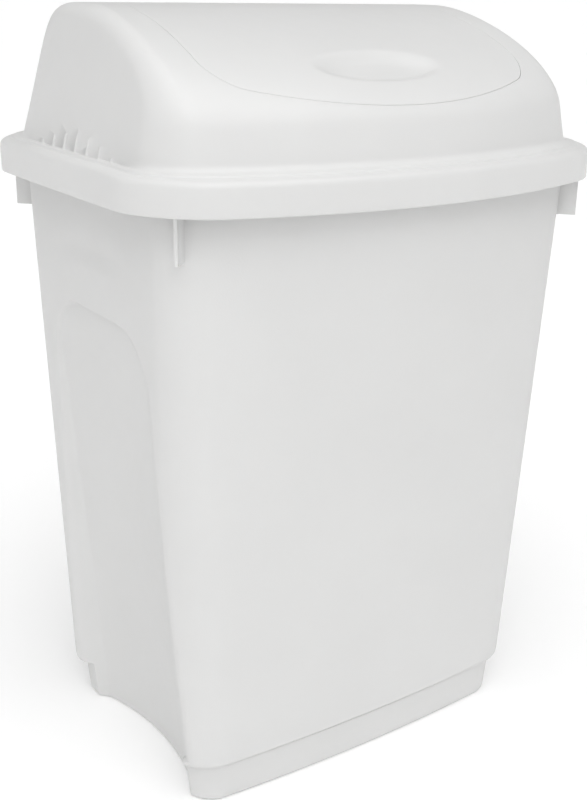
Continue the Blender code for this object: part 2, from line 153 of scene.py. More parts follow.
# Grip ribs on the ends of the dome.
GRIP_COUNT = 7
GRIP_PITCH = 0.020
GRIP_HALF_WIDTH = 0.0024
GRIP_TOP = 0.5405
GRIP_DROP = 0.0025
GRIP_STAND = 0.0010
GRIP_BURY = 0.0010
GRIP_FLARE = 0.0005
GRIP_ROOT = 0.0022
GRIP_FLARE_SHARE = 0.25
GRIP_TAPER = 0.55
GRIP_SINK = 0.4
GRIP_CREST = 1.5

# The two kinds of station on a rounded end: round its edge, and in from the edge to the end's hub.
TURN, END = "turn", "end"


# Numbers and curves.


def mix(first, second, share):
    """The number part of the way from one number to another."""
    return first + (second - first) * share


def smoothstep(value):
    """0 below 0, 1 above 1 and a smooth ramp between."""
    value = min(1.0, max(0.0, value))
    return value * value * (3 - 2 * value)


def steps(low, high, count):
    """Evenly spaced numbers, both ends included."""
    return [mix(low, high, i / count) for i in range(count + 1)]


def mix_outline(first, second, share):
    """The outline part of the way between two others."""
    return Outline(*(mix(a, b, share) for a, b in zip(first, second)))


def inset(outline, distance):
    """The same outline moved inwards."""
    half_x, half_y, corner, bow = outline
    return Outline(half_x - distance, half_y - distance, corner - distance, bow)


def bowed(x, y, outline):
    """Y once the wide sides bow out; points near the middle hardly move."""
    swell = outline.bow * (1 - min(1.0, (x / outline.half_x) ** 2))
    return y + math.copysign(swell * (y / outline.half_y) ** 2, y)


def unbowed(x, y, outline):
    """The Y that bowed() would turn into this one."""
    swell = outline.bow * (1 - (x / outline.half_x) ** 2) / outline.half_y ** 2
    return math.copysign((math.sqrt(1 + 4 * swell * abs(y)) - 1) / (2 * swell), y)


# Meshes built as skins of rings.


class Skin:
    """Points and faces of one surface; strips join clockwise loops so that they face out."""

    def __init__(self):
        self.points = []
        self.faces = []

    def loop(self, points):
        start = len(self.points)
        self.points.extend(points)
        return list(range(start, len(self.points)))

    def strip(self, upper, lower, closed=True):
        count = len(upper)
        for i in range(count if closed else count - 1):
            j = (i + 1) % count
            corners = []
            for index in (upper[i], upper[j], lower[j], lower[i]):
                if index not in corners:
                    corners.append(index)
            self.faces.append(corners)

    def stack(self, loops):
        """Join loops one to the next, from the lowest up."""
        for lower, upper in zip(loops, loops[1:]):
            self.strip(upper, lower)

    def normals(self):
        """Unit normals at the points, weighted by the area of the faces around each."""
        points = np.array(self.points)
        sums = np.zeros_like(points)
        for corners in self.faces:
            a, b, c, d = corners if len(corners) == 4 else corners + corners[-1:]
            sums[list(corners)] += np.cross(points[c] - points[a], points[d] - points[b])
        lengths = np.linalg.norm(sums, axis=1)
        return sums / np.maximum(lengths, 1e-12)[:, None]

    def inner(self, thickness):
        """Add the same surface again, moved in by the thickness and turned inside out."""
        moved = np.array(self.points) - self.normals() * thickness
        start = len(self.points)
        faces = [[start + i for i in reversed(corners)] for corners in self.faces]
        self.points.extend(tuple(p) for p in moved)
        self.faces.extend(faces)
        return start

    def object(self, name, material, sharp_degrees):
        """A Blender object of the skin."""
        data = bpy.data.meshes.new(name)
        data.from_pydata([tuple(p) for p in self.points], [], self.faces)
        data.validate()
        data.materials.append(material)
        data.shade_smooth()
        data.set_sharp_from_angle(angle=math.radians(sharp_degrees))
        made = bpy.data.objects.new(name, data)
        bpy.context.scene.collection.objects.link(made)
        return made


def combine(target, tool, operation):
    """Join a tool to an object, or cut it away, and remove the tool."""
    step = target.modifiers.new(tool.name, "BOOLEAN")
    step.object = tool
    step.operation = operation
    step.solver = "EXACT"
    bpy.context.view_layer.update()
    graph = bpy.context.evaluated_depsgraph_get()
    made = bpy.data.meshes.new_from_object(target.evaluated_get(graph))
    target.modifiers.clear()
    target.data = made
    bpy.data.objects.remove(tool)


def faced_out(made):
    """The same closed object, turned so that its faces point out."""
    volume = 0.0
    for face in made.data.polygons:
        volume += face.center.dot(face.normal) * face.area
    if volume < 0:
        made.data.flip_normals()
    return made


def prism(name, outline, direction, material, round_off=0.0):
    """A straight prism of a flat polygon, facing out, with its edges rounded."""
    skin = Skin()
    near = skin.loop(outline)
    far = skin.loop([tuple(Vector(p) + Vector(direction)) for p in outline])
    skin.faces += [near, far[::-1]]
    skin.strip(far, near)
    made = faced_out(skin.object(name, material, 30))
    if round_off:
        edge = made.modifiers.new("Round", "BEVEL")
        edge.width = round_off
        edge.segments = 3
        edge.limit_method = "ANGLE"
        bpy.context.view_layer.update()
        graph = bpy.context.evaluated_depsgraph_get()
        rounded = bpy.data.meshes.new_from_object(made.evaluated_get(graph))
        made.modifiers.clear()
        made.data = rounded
    return made


# The tub. Its rings are closest together where the hollow's edge runs.

TUB_END_SHARES = steps(0, 0.42, 5) + steps(0.46, 0.84, 32) + [0.87, 0.90, 0.94, 0.97]
TUB_TURN_STEPS = 14
TUB_WIDE_STEPS = 60
FOOT_LEVELS = steps(0.009, 0.0340, 5)
WALL_LEVELS = (
    [WALL_START, 0.0460, 0.0500]
    + steps(0.056, 0.352, 37)
    + steps(0.360, 0.4068, 36)
    + steps(0.412, WALL_END, 12)
)
INNER_LEVELS = steps(0.060, 0.350, 14) + steps(0.362, 0.404, 10) + steps(0.420, WALL_END, 4)

# The underside and the foot's lower edge: step in from the foot, height.
FOOT_EDGE = (
    (0.1000, 0.0030),
    (0.0400, 0.0030),
    (0.0185, 0.0030),
    (0.0170, 0.0026),
    (0.0155, 0.0006),
    (0.0140, 0.0000),
    (0.0040, 0.0000),
    (0.0022, 0.0003),
    (0.0008, 0.0013),
    (0.0002, 0.0026),
    (0.0000, 0.0042),
)

# The step over the foot: step out from the foot, height below the step's underside.
STEP_EDGE = ((0.0, 0.0026), (0.0003, 0.0013), (0.0011, 0.0004), (0.0024, 0.0))

# The bend from the wall into the flange: share of the way out, drop below the flange's underside.
FLANGE_BEND = ((0.01, 0.0120), (0.04, 0.0070), (0.08, 0.0035), (0.14, 0.0012), (0.25, 0.0), (0.9, 0.0))

# The lip's inner top corner: step in from its inner face, drop below the flange's underside.
LIP_CORNER = ((0.0007, 0.0005), (0.0, 0.0020))

# The lip's lower edge: share of the way from its inner to its outer face, rise.
LIP_EDGE = ((0.0, 0.0010), (0.12, 0.0003), (0.5, 0.0), (0.88, 0.0003), (1.0, 0.0010))

# The flange's outer top edge: step in, drop.
FLANGE_EDGE = ((0.0, 0.0020), (0.0006, 0.0006), (0.0020, 0.0), (0.0060, 0.0))

# The mouth's rounded edge: step out from the mouth, drop.
MOUTH_EDGE = ((0.0060, 0.0), (0.0036, 0.0004), (0.0018, 0.0018), (0.0006, 0.0044), (0.0002, 0.0080))

# The inside of the foot and the floor: heights, then step in from the foot and height.
INNER_FOOT_LEVELS = (0.036, 0.020, 0.010)
INNER_FLOOR = ((0.0034, 0.0066), (0.0064, 0.0054), (0.0400, 0.0054), (0.1000, 0.0054))


def tub_ring(outline, z):
    """The outline's points at one height, clockwise from the middle of the -X end.

    The end stations keep to the hollow's edge, whatever the height.
    """
    flat_y = outline.half_y - outline.corner
    rear = []
    for share in TUB_END_SHARES:
        if share <= HOLLOW_EDGE_SHARE:
            y = HOLLOW_HALF_WIDTH * share / HOLLOW_EDGE_SHARE
        else:
            y = mix(HOLLOW_HALF_WIDTH, flat_y, (share - HOLLOW_EDGE_SHARE) / (1 - HOLLOW_EDGE_SHARE))
        rear.append((-outline.half_x, y))
    for angle in steps(0, math.pi / 2, TUB_TURN_STEPS):
        x = outline.half_x - outline.corner * (1 - math.cos(angle))
        rear.append((-x, flat_y + outline.corner * math.sin(angle)))
    flat_x = outline.half_x - outline.corner
    middle = [(x, outline.half_y) for x in steps(-flat_x, flat_x, TUB_WIDE_STEPS)[1:-1]]
    rear = rear + middle + [(-x, y) for x, y in reversed(rear)]
    front = [(x, -y) for x, y in reversed(rear[1:-1])]
    return [(x, bowed(x, y, outline), z) for x, y in rear + front]


def wall_outline(z):
    """The body wall's outline at one height."""
    return mix_outline(WALL_BOTTOM, WALL_TOP, (z - WALL_START) / (WALL_END - WALL_START))


def hollow_depth(y, z):
    """How far the hollow in a narrow side lies behind the plain wall."""
    share = z / HOLLOW_TOP
    middle = mix(HOLLOW_FLOOR_X, HOLLOW_TOP_X, share)
    curve = mix(HOLLOW_FLOOR_CURVE, HOLLOW_TOP_CURVE, share)
    along = y - mix(HOLLOW_FLOOR_CENTRE_Y, HOLLOW_TOP_CENTRE_Y, share)
    full = wall_outline(z).half_x - (middle + curve * along * along)
    beside = abs(along) - HOLLOW_HALF_WIDTH + HOLLOW_CORNER
    above = z - HOLLOW_TOP + HOLLOW_CORNER
    outside = math.hypot(max(beside, 0), max(above, 0)) + min(max(beside, above), 0) - HOLLOW_CORNER
    ramp = mix(HOLLOW_FLOOR_RAMP, HOLLOW_TOP_RAMP, share)
    return max(full, 0) * smoothstep(1 - outside / ramp)


def hollowed(point, step_in=0.0):
    """A point of the tub's skin, pressed in where the hollow is."""
    x, y, z = point
    depth = hollow_depth(y, z)
    if z < WALL_START:
        pressed = min(abs(x), wall_outline(z).half_x - depth - step_in)
    else:
        pressed = abs(x) - depth
    return math.copysign(pressed, x), y, z


def foot_outline(z):
    """The foot's outline at one height."""
    return mix_outline(FOOT_BOTTOM, FOOT_TOP, z / FOOT_HEIGHT)


def hollowed_ring(outline, z, step_in=0.0):
    """A ring of the tub's skin, pressed in where the hollow is."""
    return [hollowed(point, step_in) for point in tub_ring(outline, z)]


def tub_outer():
    """The tub's outer rings, from its underside up to the top of its wall."""
    rings = [hollowed_ring(inset(foot_outline(z), step_in), z, step_in) for step_in, z in FOOT_EDGE]
    rings += [hollowed_ring(foot_outline(z), z) for z in FOOT_LEVELS]
    for out, below in STEP_EDGE:
        rings.append(hollowed_ring(inset(FOOT_TOP, -out), STEP_START - below))
    rounding = WALL_START - STEP_START
    for angle in (0, 15, 30, 45, 60, 75):
        turn = math.radians(angle)
        outline = inset(WALL_BOTTOM, rounding * (1 - math.sin(turn)))
        rings.append(hollowed_ring(outline, WALL_START - rounding * math.cos(turn)))
    return rings + [hollowed_ring(wall_outline(z), z) for z in WALL_LEVELS]


def tub_flange():
    """Rings out under the flange, round its lip and back over its top to the mouth."""
    under = FLANGE_TOP - BIN_WALL
    lip_in = inset(RIM, FLANGE_INSET + BIN_WALL)
    lip_out = inset(RIM, FLANGE_INSET)
    mouth = inset(WALL_TOP, BIN_WALL)
    rings = [tub_ring(mix_outline(WALL_TOP, lip_in, share), under - drop) for share, drop in FLANGE_BEND]
    rings += [tub_ring(inset(lip_in, step_in), under - drop) for step_in, drop in LIP_CORNER]
    for share, rise in LIP_EDGE:
        rings.append(tub_ring(mix_outline(lip_in, lip_out, share), FLANGE_LIP_BOTTOM + rise))
    rings += [tub_ring(inset(lip_out, step_in), FLANGE_TOP - drop) for step_in, drop in FLANGE_EDGE]
    return rings + [tub_ring(inset(mouth, -out), FLANGE_TOP - drop) for out, drop in MOUTH_EDGE]


def tub_inner():
    """The tub's inner rings, from the mouth down to the middle of its floor."""
    rings = [hollowed_ring(inset(wall_outline(z), BIN_WALL), z) for z in reversed(INNER_LEVELS)]
    rounding = WALL_START - STEP_START
    for angle in (90, 60, 30, 0):
        turn = math.radians(angle)
        outline = inset(WALL_BOTTOM, rounding - (rounding - BIN_WALL) * math.sin(turn))
        z = WALL_START - (rounding - BIN_WALL) * math.cos(turn)
        rings.append(hollowed_ring(outline, z, BIN_WALL))
    for z in INNER_FOOT_LEVELS:
        rings.append(hollowed_ring(inset(foot_outline(z), BIN_WALL), z, BIN_WALL))
    return rings + [hollowed_ring(inset(FOOT_BOTTOM, step_in), z, step_in) for step_in, z in INNER_FLOOR]


def wall_y(x, z):
    """Y of the body wall's outer face at one X and height."""
    outline = wall_outline(z)
    over = min(outline.corner, max(0.0, x - outline.half_x + outline.corner))
    y = outline.half_y - outline.corner + math.sqrt(outline.corner ** 2 - over * over)
    return bowed(x, y, outline)


def rib_root(z):
    """Where a diagonal rib ends, just inside the wall's outer face."""
    length = 0.0
    while RIB_TIP_Y - length > wall_y(RIB_TIP_X - length, z) - RIB_BITE:
        length += 0.0001
    return RIB_TIP_X - length, RIB_TIP_Y - length


def corner_rib(name, side_x, side_y, material):
    """A thin stacking rib that stands out diagonally from one corner of the wall, under the flange."""
    half = RIB_THICKNESS / 2 * math.sqrt(0.5)
    corners = []
    for z in (RIB_BOTTOM, RIB_TOP):
        ends = [rib_root(z), (RIB_TIP_X, RIB_TIP_Y)]
        corners += [(x, y, z) for x, y in (ends if z == RIB_BOTTOM else reversed(ends))]
    near = [(side_x * (x + half), side_y * (y - half), z) for x, y, z in corners]
    return prism(name, near, (-2 * side_x * half, 2 * side_y * half, 0), material, RIB_ROUNDING)


def make_tub(material):
    """The tub as one closed skin, with its stacking ribs joined on."""
    skin = Skin()
    loops = [skin.loop(points) for points in tub_outer() + tub_flange() + tub_inner()]
    skin.stack(loops)
    skin.faces.append(loops[0])
    skin.faces.append(loops[-1][::-1])
    tub = skin.object("tub_shell", material, 40)
    for side_x in (-1, 1):
        for side_y in (-1, 1):
            combine(tub, corner_rib("rib_tool", side_x, side_y, material), "UNION")
    return tub


# The dome surface, shared by the hood and the flap.


def bezier(points, count):
    """Points along a cubic curve."""
    made = []
    for t in steps(0, 1, count):
        weights = ((1 - t) ** 3, 3 * (1 - t) ** 2 * t, 3 * (1 - t) * t * t, t ** 3)
        made.append(tuple(sum(w * p[k] for w, p in zip(weights, points)) for k in (0, 1)))
    return made


def pulled(shoulder, foot, distance):
    """A curve's handle that carries on the straight wall from the foot to the shoulder."""
    run = (shoulder[0] - foot[0], shoulder[1] - foot[1])
    length = math.hypot(*run)
    return shoulder[0] + run[0] / length * distance, shoulder[1] + run[1] / length * distance


def dome_profile():
    """The dome's end profile in Y and Z as a dense line, from its rear foot over the ridge to the front."""
    ridge = (RIDGE_Y, RIDGE_HEIGHT)
    rear_foot = (DOME_FOOT.half_y, DOME_START)
    front_foot = (-DOME_FOOT.half_y, DOME_START)
    rear = [
        REAR_SHOULDER,
        pulled(REAR_SHOULDER, rear_foot, REAR_PULLS[0]),
        (RIDGE_Y + REAR_PULLS[1], RIDGE_HEIGHT),
        ridge,
    ]
    front = [
        ridge,
        (RIDGE_Y - FRONT_PULLS[0], RIDGE_HEIGHT),
        pulled(FRONT_SHOULDER, front_foot, FRONT_PULLS[1]),
        FRONT_SHOULDER,
    ]
    return np.array([rear_foot] + bezier(rear, 500) + bezier(front, 800)[1:] + [front_foot])


PROFILE = dome_profile()
PROFILE_RUN = np.concatenate([[0.0], np.cumsum(np.linalg.norm(np.diff(PROFILE, axis=0), axis=1))])


def profile_point(run):
    """Y and Z at one length along the dome's profile."""
    return tuple(float(np.interp(run, PROFILE_RUN, PROFILE[:, k])) for k in (0, 1))


def profile_run(y):
    """Length along the dome's profile at one Y."""
    return float(np.interp(-y, -PROFILE[:, 0], PROFILE_RUN))


def dome_height(x, y):
    """Height of the dome's top at a plan point away from its rounded ends."""
    return float(np.interp(-unbowed(x, y, DOME_FOOT), -PROFILE[:, 0], PROFILE[:, 1]))


def flared(x, y, z):
    """A dome point; close to the foot of the wide sides it moves out round the fillet above the ledge."""
    low = 1 - (z - DOME_START) / FOOT_FILLET
    if low <= 0:
        return x, y, z
    out = FOOT_FILLET * (1 - math.sqrt(max(0.0, 1 - low * low)))
    out *= smoothstep((abs(y) - FILLET_FADE_Y) / FILLET_FADE_RAMP)
    return x * (1 + out / DOME_FOOT.half_x), y * (1 + out / DOME_FOOT.half_y), z


def flap_front(x):
    """Y of the flap's curved front edge; its corners are rounded."""
    edge = FLAP_FRONT_Y + FLAP_FRONT_RADIUS - math.sqrt(FLAP_FRONT_RADIUS ** 2 - x * x)
    over = min(FLAP_FRONT_CORNER, max(0.0, abs(x) - FLAP_HALF_X + FLAP_FRONT_CORNER))
    return edge + FLAP_FRONT_CORNER - math.sqrt(FLAP_FRONT_CORNER ** 2 - over * over)


def flap_rear(x):
    """Y of the flap's rear edge; its corners are rounded."""
    over = min(FLAP_REAR_CORNER, max(0.0, abs(x) - FLAP_HALF_X + FLAP_REAR_CORNER))
    return FLAP_REAR_Y - FLAP_REAR_CORNER + math.sqrt(FLAP_REAR_CORNER ** 2 - over * over)


FLAP_FLAT_STEPS = 96
FLAP_TURN_ANGLES = (8, 16, 24, 32, 40, 48, 56, 63, 69, 75, 80, 85, 90)
FLAP_DEPTH_STEPS = 84


def flap_stations():
    """X of the flap's columns, closer together at its rounded corners."""
    inner = FLAP_HALF_X - FLAP_FRONT_CORNER
    turn = [inner + FLAP_FRONT_CORNER * math.sin(math.radians(a)) for a in FLAP_TURN_ANGLES]
    return [-x for x in reversed(turn)] + steps(-inner, inner, FLAP_FLAT_STEPS) + turn


def side_points(start, end):
    """The points between two corners of the flap's straight sides."""
    return [(start[0], mix(start[1], end[1], i / FLAP_DEPTH_STEPS)) for i in range(1, FLAP_DEPTH_STEPS)]


def flap_outline():
    """The flap's plan outline, clockwise from its rear -X corner: rear, +X side, front, -X side."""
    xs = flap_stations()
    rear = [(x, flap_rear(x)) for x in xs]
    front = [(x, flap_front(x)) for x in xs]
    right = side_points(rear[-1], front[-1])
    left = side_points(front[0], rear[0])
    return rear + right + front[::-1] + left


def outline_sides(loop):
    """The rear edge, the +X side with its corners, and the front edge of an outline like the flap's."""
    across = len(flap_stations())
    turn = across + FLAP_DEPTH_STEPS - 1
    rear = loop[:across]
    front = loop[turn:turn + across][::-1]
    return rear, [rear[-1]] + loop[across:turn] + [front[-1]], front


def offset_outline(distance):
    """The flap's outline moved outwards in plan."""
    loop = flap_outline()
    count = len(loop)
    moved = []
    for i, (x, y) in enumerate(loop):
        before = loop[i - 1]
        after = loop[(i + 1) % count]
        run = (after[0] - before[0], after[1] - before[1])
        length = math.hypot(*run)
        moved.append((x - run[1] / length * distance, y + run[0] / length * distance))
    return moved


def surface_loop(distance, drop):
    """The offset outline laid on the dome, then lowered."""
    return [(x, y, dome_height(x, y) - drop) for x, y in offset_outline(distance)]


def flap_loop(distance):
    """The flap's outline moved inwards; its rear edge draws in further, to clear the hood as it swings."""
    start = FLAP_REAR_Y - REAR_EASE_RAMP
    moved = []
    for x, y in offset_outline(-distance):
        moved.append((x, y - REAR_EASE * smoothstep((y - start) / REAR_EASE_RAMP)))
    return moved


# The hood.

HOOD_END_SHARES = (0.0, 0.2, 0.4, 0.6, 0.75, 0.86, 0.94)
HOOD_TURN_STEPS = 12
FRAME_STEPS = (0.0100, 0.0060, 0.0030, 0.0012)
REAR_ROWS = 44
FRONT_ROWS = 30
ROW_EASE = 1.6


def end_stations():
    """The stations of a rounded end, from next to its hub out and round its edge."""
    stations = [(END, share) for share in HOOD_END_SHARES[1:]]
    return stations + [(TURN, angle) for angle in steps(math.pi / 2, 0, HOOD_TURN_STEPS)]


def swept(kind, side, amount, half_x, corner, y, rise):
    """A section's point at one station: rounded towards each end, then drawn in to the end's hub."""
    length = math.hypot(y, rise)
    if kind == TURN:
        x = side * (half_x - corner * (1 - math.sin(amount)))
        share = 1 - corner * (1 - math.cos(amount)) / length
    else:
        x = side * half_x
        share = amount * (1 - corner / length)
    return x, y * share, rise * share


def dome_end_point(kind, side, amount, run):
    """A point of the dome's rounded end at one length along the profile."""
    y, z = profile_point(run)
    rise = z - DOME_START
    share = rise / (RIDGE_HEIGHT - DOME_START)
    if y < RIDGE_Y:
        share = smoothstep(rise / FRONT_CORNER_RISE)
    corner = mix(DOME_FOOT.corner, TOP_EDGE_RADIUS, share)
    x, y, rise = swept(kind, side, amount, DOME_FOOT.half_x, corner, y, rise)
    x *= 1 - END_LEAN * rise / DOME_FOOT.half_x
    return flared(x, bowed(x, y, DOME_FOOT), DOME_START + rise)


def dome_point(x, run):
    """A point of the dome's plain part at one X and length along the profile."""
    y, z = profile_point(run)
    return flared(x, bowed(x, y, DOME_FOOT), z)


def run_at(x, y):
    """Length along the profile at a plan point."""
    return profile_run(unbowed(x, y, DOME_FOOT))


def side_columns(side, edge, runs):
    """The hood's columns from the hub of one end to the opening's side, as lists of points row by row."""
    columns = [[dome_end_point(kind, side, amount, run) for run in runs] for kind, amount in end_stations()]
    beside = FLAP_HALF_X + GRID_EDGE
    columns += [[dome_point(side * (beside + step), run) for run in runs] for step in FRAME_STEPS]
    columns.append([dome_point(x, run) for x, run in zip(edge, runs)])
    return columns


def eased_row(share):
    """Rows lie closer together towards the dome's foot, where the share is 0."""
    return share ** ROW_EASE


def hood_rows(skin):
    """The dome's rows from its rear foot to its front foot; each has a -X, a middle and a +X part."""
    rear, beside, front = outline_sides(offset_outline(GRID_EDGE))
    full = float(PROFILE_RUN[-1])
    runs = [run_at(x, y) for x, y in beside]
    rear_runs = [runs[0] * eased_row(k / REAR_ROWS) for k in range(REAR_ROWS)]
    front_runs = [full - (full - runs[-1]) * eased_row(1 - k / FRONT_ROWS) for k in range(1, FRONT_ROWS + 1)]
    runs = rear_runs + runs + front_runs
    edge = [rear[-1][0]] * REAR_ROWS + [x for x, y in beside] + [front[-1][0]] * FRONT_ROWS
    left_columns = side_columns(-1, [-x for x in edge], runs)
    right_columns = side_columns(1, edge, runs)[::-1]
    hubs = [skin.loop([dome_end_point(END, side, 0, 0)]) for side in (-1, 1)]
    rows = []
    for k in range(len(runs)):
        left = hubs[0] + skin.loop([column[k] for column in left_columns])
        others = skin.loop([column[k] for column in right_columns]) + hubs[1]
        middle = []
        if k <= REAR_ROWS:
            middle = [dome_point(x, run_at(x, y) * eased_row(k / REAR_ROWS)) for x, y in rear[1:-1]]
        elif k >= REAR_ROWS + FLAP_DEPTH_STEPS:
            share = eased_row(1 - (k - REAR_ROWS - FLAP_DEPTH_STEPS) / FRONT_ROWS)
            middle = [dome_point(x, mix(full, run_at(x, y), share)) for x, y in front[1:-1]]
        rows.append((left, skin.loop(middle), others))
    return rows


def opening_loop(rows):
    """The grid's points round the opening, clockwise from its rear -X corner."""
    low, high = REAR_ROWS, REAR_ROWS + FLAP_DEPTH_STEPS
    rear = rows[low][0][-1:] + rows[low][1] + rows[low][2][:1]
    front = rows[high][0][-1:] + rows[high][1] + rows[high][2][:1]
    right = [row[2][0] for row in rows[low + 1:high]]
    left = [row[0][-1] for row in rows[low + 1:high]]
    return rear + right + front[::-1] + left[::-1]


LEDGE_INSET = 0.0040

# The ledge's top, then its underside: share of the way from the dome's foot to the rim, drop below the foot.
LEDGE_ROUTE = (
    (0.36, 0.0001),
    (0.40, 0.0003),
    (0.43, 0.0007),
    (0.47, 0.0012),
    (0.52, 0.0015),
    (0.60, 0.0016),
    (0.80, 0.0018),
    (1.00, 0.0022),
)
LEDGE_UNDER = ((1.0, 0.0046), (0.4, 0.0038), (0.1, 0.0030))

# The rim's rounded edge, then its inside corner: step in from the rim, drop below the dome's foot.
RIM_EDGE = ((0.0026, 0.0028), (0.0014, 0.0036), (0.0006, 0.0048), (0.0001, 0.0064), (0.0, 0.0080))
RIM_INSIDE = ((0.0022, 0.0080), (0.0030, 0.0056))

# Down the skirt, round its lower edge and up its inside: step in from the rim, rise above that edge.
SKIRT_ROUTE = (
    (0.0, 0.0120),
    (0.0, 0.0050),
    (0.0, 0.0010),
    (0.0002, 0.0004),
    (0.0008, 0.0),
    (0.0014, 0.0),
    (0.0020, 0.0004),
    (0.0022, 0.0010),
)


def dome_ring(outline, z):
    """The outline at one height with as many points as the dome's foot, in the same places."""
    rear = []
    for kind, amount in [(END, HOOD_END_SHARES[0])] + end_stations():
        x, y, _ = swept(kind, -1, amount, outline.half_x, outline.corner, outline.half_y, 0)
        rear.append((x, y))
    other = [(-x, y) for x, y in reversed(rear)]
    scale = (outline.half_x - outline.corner) / (DOME_FOOT.half_x - DOME_FOOT.corner)
    beside = FLAP_HALF_X + GRID_EDGE
    frame_xs = [beside + step for step in FRAME_STEPS]
    rear_edge, _, front_edge = outline_sides(offset_outline(GRID_EDGE))
    made = []
    for sign, edge in ((1, rear_edge), (-1, front_edge)):
        xs = [-x for x in frame_xs] + [x for x, y in edge] + frame_xs[::-1]
        middle = [(x * scale, outline.half_y) for x in xs]
        made.append([(x, sign * y) for x, y in rear + middle + other])
    loop = made[0] + made[1][-2:0:-1]
    return [(x, bowed(x, y, outline), z) for x, y in loop]


def ledge_ring(foot, share, drop):
    """A ring between the dome's foot and the ledge's edge."""
    z = DOME_START - drop
    edge = dome_ring(inset(RIM, LEDGE_INSET), z)
    return [(mix(a[0], b[0], share), mix(a[1], b[1], share), z) for a, b in zip(foot, edge)]


def rim_rings(foot):
    """Rings out over the ledge, down the skirt, up its inside and back under the ledge."""
    rings = [ledge_ring(foot, share, drop) for share, drop in LEDGE_ROUTE]
    rings += [dome_ring(inset(RIM, step_in), DOME_START - drop) for step_in, drop in RIM_EDGE]
    rings += [dome_ring(inset(RIM, step_in), SKIRT_BOTTOM + rise) for step_in, rise in SKIRT_ROUTE]
    rings += [dome_ring(inset(RIM, step_in), DOME_START - drop) for step_in, drop in RIM_INSIDE]
    return rings + [ledge_ring(foot, share, drop) for share, drop in LEDGE_UNDER]


FILLET_START = 0.0022
FILLET_ANGLES = (22.5, 45, 67.5, 90)


def fillet_rings():
    """Distance and drop of the rings round a rounded edge beside the gap."""
    rings = [(FILLET_START, 0.0), (HALF_GAP + EDGE_FILLET, 0.0)]
    for angle in FILLET_ANGLES:
        turn = math.radians(angle)
        rings.append((HALF_GAP + EDGE_FILLET * (1 - math.sin(turn)), EDGE_FILLET * (1 - math.cos(turn))))
    return rings


def lip_rings():
    """Distance and drop of the rings down the hood's lip and up its back."""
    back = HALF_GAP + LID_WALL
    return [
        (HALF_GAP, LIP_DEPTH / 2),
        (HALF_GAP, LIP_DEPTH - LOWER_CHAMFER),
        (HALF_GAP + LOWER_CHAMFER, LIP_DEPTH),
        (back - LOWER_CHAMFER, LIP_DEPTH),
        (back, LIP_DEPTH - LOWER_CHAMFER),
        (back, LIP_BACK_DROP),
    ]


def disc(name, x, radius, reach, material):
    """A short round bar along X, centred on the pivot axis."""
    outline = []
    for angle in steps(0, 2 * math.pi, ROUND_STEPS)[:-1]:
        outline.append((x, PIVOT_Y + radius * math.cos(angle), PIVOT_Z + radius * math.sin(angle)))
    return prism(name, outline, (reach, 0, 0), material)


def pivot_ear(side, material):
    """A rounded lug that hangs under the hood and holds one pin of the flap."""
    x = side * (FLAP_HALF_X + EAR_CLEARANCE)
    outline = []
    for y in (PIVOT_Y - EAR_RADIUS, PIVOT_Y + EAR_RADIUS):
        outline.append((x, y, dome_height(x, y) - EAR_BITE))
    for angle in steps(0, -math.pi, ROUND_STEPS // 2):
        outline.append((x, PIVOT_Y + EAR_RADIUS * math.cos(angle), PIVOT_Z + EAR_RADIUS * math.sin(angle)))
    return prism("ear_tool", outline, (side * EAR_THICKNESS, 0, 0), material)


GRIP_SHARES = (0.0, 0.06, 0.13, 0.22, 0.4, 0.6, 0.8, 0.92, 1.0)
GRIP_TURN_STEPS = 12


def grip_rib(side, place, material):
    """One soft upright rib on an end of the dome: it flares on the ledge and sinks into the dome on top."""
    y = place * GRIP_PITCH
    height = GRIP_TOP - GRIP_DROP * place * place / 2 - DOME_START
    skin = Skin()
    rings = []
    for share in (-GRIP_ROOT / height,) + GRIP_SHARES:
        rise = height * share
        up = max(share, 0.0)
        flare = GRIP_FLARE * max(0.0, 1 - up / GRIP_FLARE_SHARE) ** 2
        stand = mix(GRIP_STAND, -GRIP_SINK * GRIP_BURY, up ** 4) + flare
        half_width = GRIP_HALF_WIDTH * mix(1.0, GRIP_TAPER, up) + flare
        wall_x = DOME_FOOT.half_x - END_LEAN * rise - GRIP_BURY
        ring = []
        for angle in steps(-math.pi / 2, math.pi / 2, GRIP_TURN_STEPS):
            x = wall_x + (stand + GRIP_BURY) * math.cos(angle) ** GRIP_CREST
            ring.append((side * x, y + half_width * math.sin(angle), DOME_START + rise))
        rings.append(skin.loop(ring))
    skin.stack(rings)
    skin.faces += [rings[0][::-1], rings[-1]]
    return faced_out(skin.object("grip_tool", material, 60))


def join_rows(skin, rows):
    """Join the hood's rows one to the next, except across the opening."""
    low, high = REAR_ROWS, REAR_ROWS + FLAP_DEPTH_STEPS
    for k, (lower, upper) in enumerate(zip(rows, rows[1:])):
        if low <= k < high:
            skin.strip(upper[0], lower[0], closed=False)
            skin.strip(upper[2], lower[2], closed=False)
        else:
            skin.strip(sum(upper, []), sum(lower, []), closed=False)


